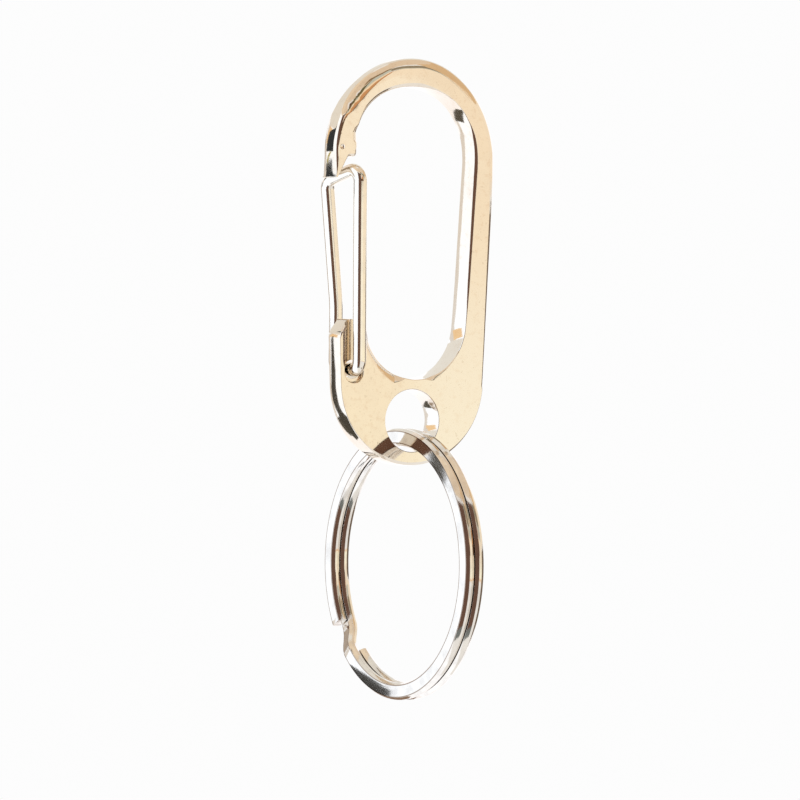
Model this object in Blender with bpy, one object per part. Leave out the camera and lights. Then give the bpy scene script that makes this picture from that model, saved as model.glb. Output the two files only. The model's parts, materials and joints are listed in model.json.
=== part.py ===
"""A carabiner keychain: a cast frame, its sprung wire gate and a split ring.

Metres, +Z up. The frame hangs upright, with its front face toward -Y and its gate on the -X side.
The origin is the inside top of the eye, where a belt loop or a hook carries the frame.
"""
import math

import bmesh
import bpy
from mathutils import Vector

# Gaps that the pieces share
RUNNING_GAP = 0.0003
CUT_OVERRUN = 0.002

# Frame outline: a long loop, wider at the arch than at the foot
FRAME_THICKNESS = 0.003
FRAME_HEIGHT = 0.045
ARCH_RADIUS = 0.0105
FOOT_RADIUS = 0.00935
CROWN_WALL = 0.0032

# Eye: the large opening; its top arc sits a little toward the gate and its bottom arc away from it,
# and its top is a little squarer than a true arc
ARCH_RAIL_WALL = 0.0027
FOOT_RAIL_WALL = 0.003
EYE_ARCH_SHIFT = -0.00015
EYE_FOOT_SHIFT = 0.00037
EYE_SHOULDER_BULGE = 0.0003

# Ring hole at the foot, with the land above it and the bar that carries the ring
HOLE_RADIUS = 0.0034
BAR_WALL = 0.0016
LAND_WALL = 0.0012
LAND_HALF_WIDTH = 0.00195

# Edge rounding of the casting, from generous over the arch to crisp at the foot
ARCH_ROUNDING = 0.00125
NOSE_ROUNDING = 0.0006
FOOT_ROUNDING = 0.0002
EYE_ROUNDING = 0.00045
EYE_FOOT_ROUNDING = 0.0003
EYE_CORNER_ROUNDING = 0.0008

# Mouth: the nose above it, whose lip hooks round the gate, and the horn below it; both run straight
# on from where the eye's arcs end
NOSE_LENGTH = 0.00165
NOTCH_HEIGHT = 0.0023
LIP_WALL = 0.00025
LIP_RUN = 0.0014
HORN_LENGTH = 0.00084
HORN_OUTER_RUN = 0.0013
HORN_OUTER_DROP = 0.0017
HORN_INNER_CHAMFER = 0.0006
DIMPLE_RADIUS = 0.0003
DIMPLE_DEPTH = 0.00015
DIMPLE_INSET = 0.0009
DIMPLE_RISE = 0.0034

# Wire gate: one spring wire bent to a loop that straddles the frame
GATE_WIRE_RADIUS = 0.00075
PIVOT_INSET = 0.0018
PIVOT_DEPTH = 0.00555
SOCKET_BEND_RADIUS = 0.0011
LOOP_BEND_RADIUS = 0.00125
STUB_SPACING = 0.0006
NOTCH_SPACE = 0.00028
NEAR_LEAN = 0.0003
CROSSPIECE_DROP = 0.00155
FAR_LEG_UPRIGHT = 0.007
FAR_LEG_BEND_RADIUS = 0.02
GROOVE_MARGIN = 0.00012
GROOVE_DROP = 0.0003
GROOVE_DEPTH = 0.0005

# Split ring: one flattened wire in two turns, with a step from one turn to the other
RING_RADIUS = 0.015
RING_WIRE_DEPTH = 0.0019
RING_WIRE_WIDTH = 0.00108
RING_WIRE_ROUNDING = 0.00045
RING_TURN_SPACE = 0.00012
RING_STEP_LENGTH = 0.0042
RING_END_GAP = 0.0003
RING_STEP_ANGLE = math.radians(-39.5)

# Mesh density
ARCH_STATIONS = 30
RAIL_STATIONS = 10
FOOT_STATIONS = 44
END_STATIONS = 3
CORNER_STEPS = 4
ROUND_SIDES = 56
BEND_STEPS = 6
RING_STATIONS = 148

# Places worked out from the sizes above
HALF_THICKNESS = FRAME_THICKNESS / 2
FRAME_BOTTOM = CROWN_WALL - FRAME_HEIGHT
HOLE_Z = FRAME_BOTTOM + BAR_WALL + HOLE_RADIUS
EYE_BOTTOM = HOLE_Z + HOLE_RADIUS + LAND_WALL
SOCKET_RADIUS = GATE_WIRE_RADIUS + RUNNING_GAP


def blend(low, high, share):
    return low + (high - low) * share


class Outline:
    """A loop of two arcs, top and bottom, joined by straight rails, in the XZ plane."""

    def __init__(self, top, top_radius, bottom, bottom_radius, arch_x=0, foot_x=0, bulge=0):
        self.top_radius = top_radius
        self.bottom_radius = bottom_radius
        self.bulge = bulge
        self.arch = Vector((arch_x, top - top_radius))
        self.foot = Vector((foot_x, bottom + bottom_radius))
        span = self.foot - self.arch
        lean = math.asin((top_radius - bottom_radius) / span.length)
        tilt = math.atan2(span.x, -span.y)
        self.left_turn = math.pi + tilt + lean
        self.right_turn = tilt - lean

    def on_arch(self, share):
        """Point over the top, from the left rail (0) to the right rail (1)."""
        angle = blend(self.left_turn, self.right_turn, share)
        radius = self.top_radius + self.bulge * math.sin(2 * angle) ** 2
        return self.arch + radius * Vector((math.cos(angle), math.sin(angle)))

    def on_foot(self, share):
        """Point under the bottom, from the right rail (0) to the left rail (1)."""
        angle = blend(self.right_turn, self.left_turn - 2 * math.pi, share)
        return self.foot + self.bottom_radius * Vector((math.cos(angle), math.sin(angle)))

    def foot_share(self, x):
        """Share of the way under the bottom at which the arc passes an X."""
        angle = -math.acos((x - self.foot.x) / self.bottom_radius)
        return (angle - self.right_turn) / (self.left_turn - 2 * math.pi - self.right_turn)

    def on_left(self, z):
        """Point of the left rail, or of its line run on, at a height."""
        high, low = self.on_arch(0), self.on_foot(1)
        return high.lerp(low, (z - high.y) / (low.y - high.y))


OUTER = Outline(CROWN_WALL, ARCH_RADIUS, FRAME_BOTTOM, FOOT_RADIUS)
EYE = Outline(0, ARCH_RADIUS - ARCH_RAIL_WALL, EYE_BOTTOM, FOOT_RADIUS - FOOT_RAIL_WALL,
              EYE_ARCH_SHIFT, EYE_FOOT_SHIFT, EYE_SHOULDER_BULGE)
NOSE_END = min(OUTER.on_arch(0).y, EYE.on_arch(0).y) - NOSE_LENGTH
HORN_TOP = max(OUTER.on_foot(1).y, EYE.on_foot(1).y) + HORN_LENGTH
PIVOT_Z = HORN_TOP - PIVOT_DEPTH
PIVOT_X = OUTER.on_left(PIVOT_Z).x + PIVOT_INSET


def clear_scene():
    for item in list(bpy.data.objects):
        bpy.data.objects.remove(item, do_unlink=True)


def metal(name, colour, roughness):
    material = bpy.data.materials.new(name)
    material.use_nodes = True
    surface = material.node_tree.nodes["Principled BSDF"]
    surface.inputs["Base Color"].default_value = (*colour, 1)
    surface.inputs["Metallic"].default_value = 1
    surface.inputs["Roughness"].default_value = roughness
    return material


def add_object(name, data, material=None, location=(0, 0, 0)):
    item = bpy.data.objects.new(name, data)
    item.location = location
    bpy.context.scene.collection.objects.link(item)
    if material:
        data.materials.append(material)
    return item


def skin(name, loops, crease_angle=math.radians(35)):
    """A closed mesh through a row of loops of equal length, capped at both ends."""
    shape = bmesh.new()
    rings = [[shape.verts.new(point) for point in loop] for loop in loops]
    for first, second in zip(rings, rings[1:]):
        for index, corner in enumerate(first):
            after = (index + 1) % len(first)
            shape.faces.new((corner, first[after], second[after], second[index]))
    shape.faces.new(rings[0])
    shape.faces.new(rings[-1])
    bmesh.ops.recalc_face_normals(shape, faces=shape.faces)
    mesh = bpy.data.meshes.new(name)
    shape.to_mesh(mesh)
    shape.free()
    mesh.shade_smooth()
    mesh.set_sharp_from_angle(angle=crease_angle)
    return mesh


def rounded_box_loop(width, depth, near_rounding, far_rounding):
    """Corners of a rounded rectangle: width runs from 0 with near_rounding to the far side."""
    corners = (
        (near_rounding, near_rounding - depth / 2, near_rounding, math.pi),
        (width - far_rounding, far_rounding - depth / 2, far_rounding, 1.5 * math.pi),
        (width - far_rounding, depth / 2 - far_rounding, far_rounding, 0),
        (near_rounding, depth / 2 - near_rounding, near_rounding, 0.5 * math.pi),
    )
    loop = []
    for across, along, radius, start in corners:
        for step in range(CORNER_STEPS + 1):
            angle = start + 0.5 * math.pi * step / CORNER_STEPS
            loop.append((across + radius * math.cos(angle), along + radius * math.sin(angle)))
    return loop


# Cast frame

def frame_stations():
    """Pairs of outer and eye points from the nose round to the horn, each with its two roundings."""
    for step in range(END_STATIONS):
        share = step / END_STATIONS
        yield (OUTER.on_left(NOSE_END).lerp(OUTER.on_arch(0), share),
               EYE.on_left(NOSE_END).lerp(EYE.on_arch(0), share), NOSE_ROUNDING, EYE_ROUNDING)
    for step in range(ARCH_STATIONS):
        share = step / ARCH_STATIONS
        rounding = blend(NOSE_ROUNDING, ARCH_ROUNDING, math.sin(math.pi * share) ** 1.5)
        yield OUTER.on_arch(share), EYE.on_arch(share), rounding, EYE_ROUNDING
    for step in range(RAIL_STATIONS):
        share = step / RAIL_STATIONS
        rounding = blend(NOSE_ROUNDING, FOOT_ROUNDING, math.sqrt(share))
        yield (OUTER.on_arch(1).lerp(OUTER.on_foot(0), share),
               EYE.on_arch(1).lerp(EYE.on_foot(0), share),
               rounding, blend(EYE_ROUNDING, EYE_FOOT_ROUNDING, share))
    for share in foot_shares():
        yield OUTER.on_foot(share), EYE.on_foot(share), FOOT_ROUNDING, foot_eye_rounding(share)
    for step in range(1, END_STATIONS + 1):
        share = step / END_STATIONS
        yield (OUTER.on_foot(1).lerp(OUTER.on_left(HORN_TOP), share),
               EYE.on_foot(1).lerp(EYE.on_left(HORN_TOP), share), FOOT_ROUNDING, EYE_FOOT_ROUNDING)


def land_shares():
    """Shares of the foot's sweep where the flat land above the ring hole starts and ends."""
    return [EYE.foot_share(LAND_HALF_WIDTH), EYE.foot_share(-LAND_HALF_WIDTH)]


def foot_shares():
    """Even steps round the foot, with two close pairs where the land's shoulders end."""
    even = [step / FOOT_STATIONS for step in range(FOOT_STATIONS + 1)]
    pair_share = 0.25 / FOOT_STATIONS
    kept = [share for share in even if min(abs(share - edge) for edge in land_shares()) > 2 * pair_share]
    return sorted(kept + [edge + side * pair_share for edge in land_shares() for side in (-1, 1)])


def foot_eye_rounding(share):
    """The eye's edge is crisp on the land and widest at the land's shoulders."""
    start, end = land_shares()
    if start <= share <= end:
        return FOOT_ROUNDING
    fade = 1 - share / start if share < start else (share - end) / (1 - end)
    return blend(EYE_CORNER_ROUNDING, EYE_FOOT_ROUNDING, fade)


def frame_loops():
    for outer, inner, outer_rounding, inner_rounding in frame_stations():
        across = inner - outer
        loop = rounded_box_loop(across.length, FRAME_THICKNESS, outer_rounding, inner_rounding)
        points = [(outer + across.normalized() * width, y) for width, y in loop]
        yield [(place.x, y, place.y) for place, y in points]


def cutter(name, outline, front, back):
    """A prism through the frame: an XZ outline from the front to the back Y."""
    loops = [[(x, y, z) for x, z in outline] for y in (front, back)]
    item = add_object(name, skin(name, loops))
    item.hide_render = True
    item.display_type = "WIRE"
    return item


def round_outline(x, z, radius, sides):
    turns = [2 * math.pi * side / sides for side in range(sides)]
    return [(x + radius * math.cos(turn), z + radius * math.sin(turn)) for turn in turns]


def groove_outline():
    """A slot down the horn, open at the top, its round end a little below the pivot."""
    half_width = SOCKET_RADIUS + GROOVE_MARGIN
    sides = ROUND_SIDES // 2
    bottom = [math.pi + math.pi * side / sides for side in range(sides + 1)]
    end_z = PIVOT_Z - GROOVE_DROP
    arc = [(PIVOT_X + half_width * math.cos(turn), end_z + half_width * math.sin(turn)) for turn in bottom]
    top = HORN_TOP + CUT_OVERRUN
    return arc + [(PIVOT_X + half_width, top), (PIVOT_X - half_width, top)]


def lip_line():
    """Foot and root of the slanted inner side of the nose's lip."""
    foot = Vector((OUTER.on_left(NOSE_END).x + LIP_WALL, NOSE_END))
    root = Vector((foot.x + LIP_RUN, NOSE_END + NOTCH_HEIGHT))
    return foot, root


def notch_outline():
    """The space behind the lip: it leaves the lip outside and a stop above the gate's crosspiece."""
    foot, root = lip_line()
    below = foot - (root - foot).normalized() * CUT_OVERRUN
    inside = EYE.on_left(NOSE_END).x + CUT_OVERRUN
    return [tuple(below), tuple(root), (inside, root.y), (inside, below.y)]


def corner_outline(low, high):
    """A block beyond the line from low to high, on its left as seen going up."""
    along = (high - low).normalized() * CUT_OVERRUN
    out = Vector((-along.y, along.x))
    return [tuple(low - along), tuple(high + along), tuple(high + along + out), tuple(low - along + out)]


def horn_corners():
    """Outlines that bevel the horn's outer and inner top corners."""
    outer = OUTER.on_left(HORN_TOP)
    inner = EYE.on_left(HORN_TOP)
    outer_low = Vector((outer.x, outer.y - HORN_OUTER_DROP))
    outer_high = Vector((outer.x + HORN_OUTER_RUN, outer.y))
    inner_high = Vector((inner.x - HORN_INNER_CHAMFER, inner.y))
    inner_low = Vector((inner.x, inner.y - HORN_INNER_CHAMFER))
    return corner_outline(outer_low, outer_high), corner_outline(inner_high, inner_low)


def dimple_outline():
    """A small round pit in the nose's front face."""
    edge = OUTER.on_left(NOSE_END + DIMPLE_RISE)
    return round_outline(edge.x + DIMPLE_INSET, edge.y, DIMPLE_RADIUS, ROUND_SIDES // 4)


def frame_cutters():
    front = -HALF_THICKNESS - CUT_OVERRUN
    back = HALF_THICKNESS + CUT_OVERRUN
    groove_floor = HALF_THICKNESS - GROOVE_DEPTH
    outer_corner, inner_corner = horn_corners()
    hole = round_outline(0, HOLE_Z, HOLE_RADIUS, ROUND_SIDES)
    socket = round_outline(PIVOT_X, PIVOT_Z, SOCKET_RADIUS, ROUND_SIDES // 2)
    return [
        cutter("dimple_cutter", dimple_outline(), front, DIMPLE_DEPTH - HALF_THICKNESS),
        cutter("ring_hole_cutter", hole, front, back),
        cutter("notch_cutter", notch_outline(), front, back),
        cutter("horn_outer_cutter", outer_corner, front, back),
        cutter("horn_inner_cutter", inner_corner, front, back),
        cutter("socket_cutter", socket, front, back),
        cutter("front_groove_cutter", groove_outline(), front, -groove_floor),
        cutter("back_groove_cutter", groove_outline(), groove_floor, back),
    ]


def build_frame():
    plating = metal("champagne_plating", (0.83, 0.76, 0.66), 0.1)
    frame = add_object("frame", skin("frame", list(frame_loops())), plating)
    for item in frame_cutters():
        cut = frame.modifiers.new(item.name, "BOOLEAN")
        cut.operation = "DIFFERENCE"
        cut.solver = "EXACT"
        cut.object = item


# Wire gate

def gate_corners():
    """Corners of the wire and the bend radius at each, from the near stub to the far stub."""
    leg_y = HALF_THICKNESS + RUNNING_GAP + GATE_WIRE_RADIUS
    stub_y = STUB_SPACING / 2
    foot, root = lip_line()
    lip = (root - foot).normalized()
    near_z = root.y - NOTCH_SPACE - GATE_WIRE_RADIUS
    far_z = near_z - CROSSPIECE_DROP
    lip_x = foot.x + (far_z - foot.y) * lip.x / lip.y
    far_x = lip_x + (GATE_WIRE_RADIUS + RUNNING_GAP) / lip.y
    return [
        ((PIVOT_X, -stub_y, PIVOT_Z), 0),
        ((PIVOT_X, -leg_y, PIVOT_Z), SOCKET_BEND_RADIUS),
        ((PIVOT_X - NEAR_LEAN, -leg_y, near_z), LOOP_BEND_RADIUS),
        ((far_x, leg_y, far_z), LOOP_BEND_RADIUS),
        ((PIVOT_X, leg_y, PIVOT_Z + FAR_LEG_UPRIGHT), FAR_LEG_BEND_RADIUS),
        ((PIVOT_X, leg_y, PIVOT_Z), SOCKET_BEND_RADIUS),
        ((PIVOT_X, stub_y, PIVOT_Z), 0),
    ]


def rounded_path(corners):
    """Points along straight runs joined by arcs of each corner's radius."""
    places = [Vector(place) for place, radius in corners]
    path = [places[0]]
    for before, place, after, (_, radius) in zip(places, places[1:], places[2:], corners[1:]):
        going_in = (place - before).normalized()
        going_out = (after - place).normalized()
        turn = going_in.angle(going_out)
        start = place - going_in * radius * math.tan(turn / 2)
        inward = (going_out - going_in * going_out.dot(going_in)).normalized()
        for step in range(BEND_STEPS + 1):
            angle = turn * step / BEND_STEPS
            ahead = going_in * radius * math.sin(angle)
            path.append(start + ahead + inward * radius * (1 - math.cos(angle)))
    return path + [places[-1]]


def build_gate():
    steel = metal("spring_steel", (0.8, 0.78, 0.75), 0.12)
    curve = bpy.data.curves.new("gate_wire", "CURVE")
    curve.dimensions = "3D"
    curve.bevel_depth = GATE_WIRE_RADIUS
    curve.bevel_resolution = 4
    curve.use_fill_caps = True
    pivot = Vector((PIVOT_X, 0, PIVOT_Z))
    path = rounded_path(gate_corners())
    spline = curve.splines.new("POLY")
    spline.points.add(len(path) - 1)
    for point, place in zip(spline.points, path):
        point.co = (*(place - pivot), 1)
    spline.use_smooth = True
    add_object("gate_wire", curve, steel, pivot)


# Split ring

def ring_centre_drop():
    """How far the ring's centre hangs below the hole's centre, resting just clear of the bar."""
    half_width = RING_WIRE_WIDTH + RING_TURN_SPACE / 2
    inner_radius = RING_RADIUS - RING_WIRE_DEPTH
    corner_drop = math.sqrt((HOLE_RADIUS - RUNNING_GAP) ** 2 - half_width ** 2)
    sag = inner_radius - math.sqrt(inner_radius ** 2 - HALF_THICKNESS ** 2)
    return corner_drop - sag + inner_radius


def ring_loops():
    """Sections of the wire along its two turns; the step between them sits low on the far side."""
    step_half = RING_STEP_LENGTH / RING_RADIUS / 2
    end_gap = RING_END_GAP / RING_RADIUS
    start = RING_STEP_ANGLE + step_half + end_gap
    finish = RING_STEP_ANGLE - step_half - end_gap + 4 * math.pi
    step_middle = RING_STEP_ANGLE + 2 * math.pi
    offset = (RING_WIRE_WIDTH + RING_TURN_SPACE) / 2
    drop = ring_centre_drop()
    section = rounded_box_loop(RING_WIRE_DEPTH, RING_WIRE_WIDTH, RING_WIRE_ROUNDING, RING_WIRE_ROUNDING)
    for station in range(RING_STATIONS + 1):
        angle = blend(start, finish, station / RING_STATIONS)
        across = min(max((angle - step_middle) / step_half, -1), 1)
        side = offset * math.sin(across * math.pi / 2)
        loop = []
        for depth, width in section:
            radius = RING_RADIUS - depth
            loop.append((side + width, radius * math.cos(angle), radius * math.sin(angle) - drop))
        yield loop


def build_ring():
    nickel = metal("nickel_plating", (0.76, 0.74, 0.71), 0.16)
    add_object("split_ring", skin("split_ring", list(ring_loops())), nickel, (0, 0, HOLE_Z))


clear_scene()
build_frame()
build_gate()
build_ring()
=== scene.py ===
"""A carabiner keychain in a white studio: a cast frame, its sprung wire gate and a split ring."""
import json
import math

import bmesh
import bpy
from mathutils import Matrix, Vector, noise

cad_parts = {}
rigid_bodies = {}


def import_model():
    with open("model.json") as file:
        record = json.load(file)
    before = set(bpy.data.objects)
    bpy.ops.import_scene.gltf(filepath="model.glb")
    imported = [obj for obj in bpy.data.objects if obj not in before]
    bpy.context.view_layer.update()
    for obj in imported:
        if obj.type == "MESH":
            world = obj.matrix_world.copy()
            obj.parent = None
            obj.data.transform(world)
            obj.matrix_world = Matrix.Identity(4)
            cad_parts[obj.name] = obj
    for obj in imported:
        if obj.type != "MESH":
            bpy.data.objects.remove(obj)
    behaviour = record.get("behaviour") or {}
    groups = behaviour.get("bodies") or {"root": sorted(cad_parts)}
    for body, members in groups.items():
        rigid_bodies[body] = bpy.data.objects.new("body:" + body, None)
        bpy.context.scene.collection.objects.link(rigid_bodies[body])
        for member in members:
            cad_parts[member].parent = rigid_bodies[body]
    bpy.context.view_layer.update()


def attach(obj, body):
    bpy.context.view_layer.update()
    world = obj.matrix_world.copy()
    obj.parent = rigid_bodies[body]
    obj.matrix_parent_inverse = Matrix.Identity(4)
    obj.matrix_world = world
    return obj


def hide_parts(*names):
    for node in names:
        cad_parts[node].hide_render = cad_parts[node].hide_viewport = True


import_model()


# Cast frame
# One zinc casting, polished and plated with warm bright nickel. The outline is a long loop with a
# nose and a horn at its mouth, generously rounded over the arch and crisp at the foot. Slots on
# both faces of the horn let the gate wire turn into its socket.

MM = 0.001  # sizes are in millimetres until a mesh is made
THICKNESS, HEIGHT = 3.0, 45.0
ARCH_RADIUS, FOOT_RADIUS = 10.5, 9.35
CROWN_WALL, BAR_WALL, LAND_WALL = 3.2, 1.6, 1.2
ARCH_RAIL_WALL, FOOT_RAIL_WALL = 2.7, 3.0
EYE_ARCH_SHIFT, EYE_FOOT_SHIFT, EYE_BULGE, ARCH_BULGE = -0.15, 0.37, 0.3, -0.06
HOLE_RADIUS = 3.4
NOSE_LENGTH, NOTCH_HEIGHT, LIP_WALL, LIP_RUN = 1.65, 2.3, 0.25, 1.4
BUMP_TOP, BUMP_RAMP, BUMP_RISE = -5.0, 1.3, 0.3
HORN_LENGTH, HORN_OUTER_RUN, HORN_OUTER_DROP, HORN_INNER_CHAMFER = 0.84, 1.3, 1.7, 0.6
WIRE_RADIUS, RUNNING_GAP, PIVOT_INSET, PIVOT_DEPTH = 0.75, 0.3, 1.8, 5.55
SLOT_MARGIN, SLOT_DROP, SLOT_DEPTH = 0.12, 0.3, 0.5
SOCKET_RADIUS = WIRE_RADIUS + RUNNING_GAP
DIMPLE_RADIUS, DIMPLE_INSET, DIMPLE_RISE = 0.3, 0.9, 3.4
# Widths of the front's soft edge, and how much wider the back's is: round an arch by the turn in
# degrees, along a rail by its height, and round a foot by the distance to the right
ARCH_EDGES = ((-2, 1.08), (10, 1.33), (21, 1.4), (53, 1.37), (67, 1.18), (74, 1.12), (85, 1.12), (94, 1.2),
              (103, 1.08), (110, 1.08), (116, 1.19), (124, 1.28), (130, 1.35), (142, 1.35), (147, 1.16), (153, 1.04),
              (158, 0.58))
RAIL_EDGES = ((-30, 0.35), (-20, 0.5), (-13, 0.58), (-9.5, 0.85), (-7.7, 1.08))
FOOT_EDGES = ((-8, 0.1), (-6, 0.17), (-3.5, 0.38), (3, 0.38), (8, 0.2))
EYE_TOP_EDGES = ((0, 0.42), (18, 0.35), (33, 0.1), (50, 0.1), (68, 0.16), (85, 0.45), (100, 0.43), (140, 0.43),
                 (153, 0.27), (157, 0.3), (160, 0.8), (167, 0.75), (171, 0.35))
EYE_RAIL_EDGES = ((-26, 0.13), (-22, 0.3), (-8.5, 0.42))
EYE_FOOT_EDGES = ((-6, 0.3), (-5.4, 0.9), (-2, 1.0), (-1, 0.15), (1.6, 0.15), (2.5, 0.55), (3.4, 0.3), (5.2, 0.13))
TIP_EDGE, NOSE_EDGE_GROWTH, NOSE_EDGE_MOST = 0.05, 0.25, 0.58
LIP_EDGE, LIP_EDGE_GROWTH, NOTCH_EDGE = 0.07, 0.08, 0.35
HORN_SIDE_EDGE, HORN_EDGE, HOLE_EDGE = 0.1, 0.3, 0.13
BACK_EXTRA, RAIL_BACK_EXTRA, FOOT_BACK_EXTRA = 0.35, 0.1, 0.55
ARCH_BACK_EXTRAS = ((50, 0.3), (75, 0.6), (110, 0.65), (130, 0.35), (140, 0), (155, 0), (162, 0.35))
ARCH_ROUNDNESS = ((-2, 0.1), (12, 0.45), (150, 0.45), (158, 1))
EDGE_DEPTH_SHARE, FLAT_EDGE_POWER, EDGE_STEPS = 0.65, 1.667, 10
CROWN, WAVE, WAVE_LENGTH, LONGEST_STEP = 0.09, 0.012, 2.2, 0.5
SHARPEST_ANGLE = 14
PLATE_WARM, PLATE_DULL, PLATE_PALE = (0.85, 0.765, 0.655, 1), (0.82, 0.735, 0.63, 1), (0.855, 0.805, 0.735, 1)
MOTTLE_TAN, PIT_BROWN = (0.74, 0.61, 0.49, 1), (0.6, 0.5, 0.4, 1)


def sweep(centre, radius, start, end, steps=64):
    """Points along an arc, with both ends."""
    turns = [start + (end - start) * step / steps for step in range(steps + 1)]
    return [centre + radius * Vector((math.cos(turn), math.sin(turn))) for turn in turns]


class Loop:
    """Two arcs, top and bottom, joined by straight rails, in the XZ plane; a bulge squares the top's shoulders."""

    def __init__(self, top, top_radius, bottom, bottom_radius, bulge=0.0):
        self.top = top
        self.top_radius = top_radius
        self.bottom = bottom
        self.bottom_radius = bottom_radius
        self.bulge = bulge
        span = bottom - top
        lean = math.asin((top_radius - bottom_radius) / span.length)
        tilt = math.atan2(span.x, -span.y)
        self.left_turn = math.pi + tilt + lean
        self.right_turn = tilt - lean

    def over(self, start, end):
        """Points over the top from one angle to another."""
        circle = sweep(self.top, self.top_radius, start, end)
        return [point + (point - self.top).normalized() * self.bulge * math.sin(2 * turn_of(point, self.top)) ** 2
                for point in circle]

    def under(self, start, end):
        """Points under the bottom from one angle to another."""
        return sweep(self.bottom, self.bottom_radius, start, end)

    def left(self, z):
        """Point of the left rail, or of its line run on, at a height."""
        high = self.over(self.left_turn, self.right_turn)[0]
        low = self.under(self.right_turn, self.left_turn - 2 * math.pi)[-1]
        return high.lerp(low, (z - high.y) / (low.y - high.y))


def turn_of(point, centre):
    """Angle of a point about a centre, from a quarter turn under the right side to the same under the left."""
    turn = math.atan2(point.y - centre.y, point.x - centre.x)
    return turn if turn > -math.pi / 2 else turn + 2 * math.pi


OUTER = Loop(Vector((0, CROWN_WALL - ARCH_RADIUS)), ARCH_RADIUS,
             Vector((0, CROWN_WALL - HEIGHT + FOOT_RADIUS)), FOOT_RADIUS, ARCH_BULGE)
HOLE = Vector((0, CROWN_WALL - HEIGHT + BAR_WALL + HOLE_RADIUS))
EYE_FOOT_RADIUS = FOOT_RADIUS - FOOT_RAIL_WALL
EYE = Loop(Vector((EYE_ARCH_SHIFT, ARCH_RAIL_WALL - ARCH_RADIUS)), ARCH_RADIUS - ARCH_RAIL_WALL,
           Vector((EYE_FOOT_SHIFT, HOLE.y + HOLE_RADIUS + LAND_WALL + EYE_FOOT_RADIUS)), EYE_FOOT_RADIUS, EYE_BULGE)
OUTER_ENDS = (OUTER.top.y + OUTER.top_radius * math.sin(OUTER.left_turn),
              OUTER.bottom.y + OUTER.bottom_radius * math.sin(OUTER.left_turn))
EYE_ENDS = (EYE.over(EYE.left_turn, EYE.right_turn)[0].y, EYE.bottom.y + EYE.bottom_radius * math.sin(EYE.left_turn))
NOSE_END = min(OUTER_ENDS[0], EYE_ENDS[0]) - NOSE_LENGTH
HORN_TOP = max(OUTER_ENDS[1], EYE_ENDS[1]) + HORN_LENGTH
PIVOT = OUTER.left(HORN_TOP - PIVOT_DEPTH) + Vector((PIVOT_INSET, 0))
DIMPLE = OUTER.left(NOSE_END + DIMPLE_RISE) + Vector((DIMPLE_INSET, 0))
LIP_FOOT = OUTER.left(NOSE_END) + Vector((LIP_WALL, 0))
LIP_ROOT = LIP_FOOT + Vector((LIP_RUN, NOTCH_HEIGHT))


def read_table(table, place):
    """The value at a place along a table, straight between its rows."""
    for (low, first), (high, second) in zip(table, table[1:]):
        if place <= high:
            share = max((place - low) / (high - low), 0)
            return first + (second - first) * share
    return table[-1][1]


def soft(points, edge, extra=BACK_EXTRA, roundness=0):
    """Points, each with its soft edges: the width on the front face and on the back face, and how round
    they are, from 0 for a flat bevel to 1 for a true arc. Each may be a function of the point."""
    line = []
    for point in points:
        front, wider, arc = (given(point) if callable(given) else given for given in (edge, extra, roundness))
        line.append((point, Vector((front, front + wider, arc))))
    return line


def join_runs(rounded_runs, steps=9):
    """One closed line through runs of soft points, each given with the radius of the corner before it."""
    runs = [run for radius, run in rounded_runs]
    trimmed = [list(run) for run in runs]
    corners = []
    for index, (radius, run) in enumerate(rounded_runs):
        before, (corner, edge_after) = runs[index - 1], runs[index][0]
        edge_before = before[-1][1]
        if radius == 0:
            corners.append([])
            continue
        going_in = (corner - before[-2][0]).normalized()
        going_out = (runs[index][1][0] - corner).normalized()
        turn = going_in.angle(going_out)
        reach = radius * math.tan(turn / 2)
        inward = (going_out - going_in * going_out.dot(going_in)).normalized()
        start = corner - going_in * reach
        bend = []
        for step in range(steps + 1):
            angle = turn * step / steps
            point = start + going_in * radius * math.sin(angle) + inward * radius * (1 - math.cos(angle))
            bend.append((point, edge_before + (edge_after - edge_before) * step / steps))
        corners.append(bend)
        for side in (index - 1, index):
            trimmed[side] = [item for item in trimmed[side] if (item[0] - corner).length > reach]
    return [item for bend, run in zip(corners, trimmed) for item in bend + run]


def even_out(line):
    """The same closed line without doubled points and with long stretches divided."""
    kept = [item for item, before in zip(line, line[-1:] + line[:-1]) if (item[0] - before[0]).length > 0.004]
    even = []
    for (point, edge), (after, edge_after) in zip(kept, kept[1:] + kept[:1]):
        parts = math.ceil((after - point).length / LONGEST_STEP)
        for part in range(parts):
            even.append((point.lerp(after, part / parts), edge + (edge_after - edge) * part / parts))
    return even


def nose_edge(point):
    return min(TIP_EDGE + NOSE_EDGE_GROWTH * (point.y - NOSE_END), NOSE_EDGE_MOST)


def lip_edge(point):
    return LIP_EDGE + LIP_EDGE_GROWTH * (point.y - NOSE_END)


def by_turn(table, centre):
    return lambda point: read_table(table, math.degrees(turn_of(point, centre)))


def by_height(table):
    return lambda point: read_table(table, point.y)


def by_width(table):
    return lambda point: read_table(table, point.x)


def foot_back_extra(point):
    """The back's edge is widest low on the gate's side."""
    return BACK_EXTRA + FOOT_BACK_EXTRA * min(max(-point.x / FOOT_RADIUS, 0), 1)


def with_bump(points):
    """The eye's line swells a little on the nose's inner side."""
    moved = []
    for point in points:
        share = min(max((BUMP_TOP - point.y) / BUMP_RAMP, 0), 1) if point.x < 0 else 0
        moved.append(point + (EYE.top - point).normalized() * BUMP_RISE * share)
    return moved


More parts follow.
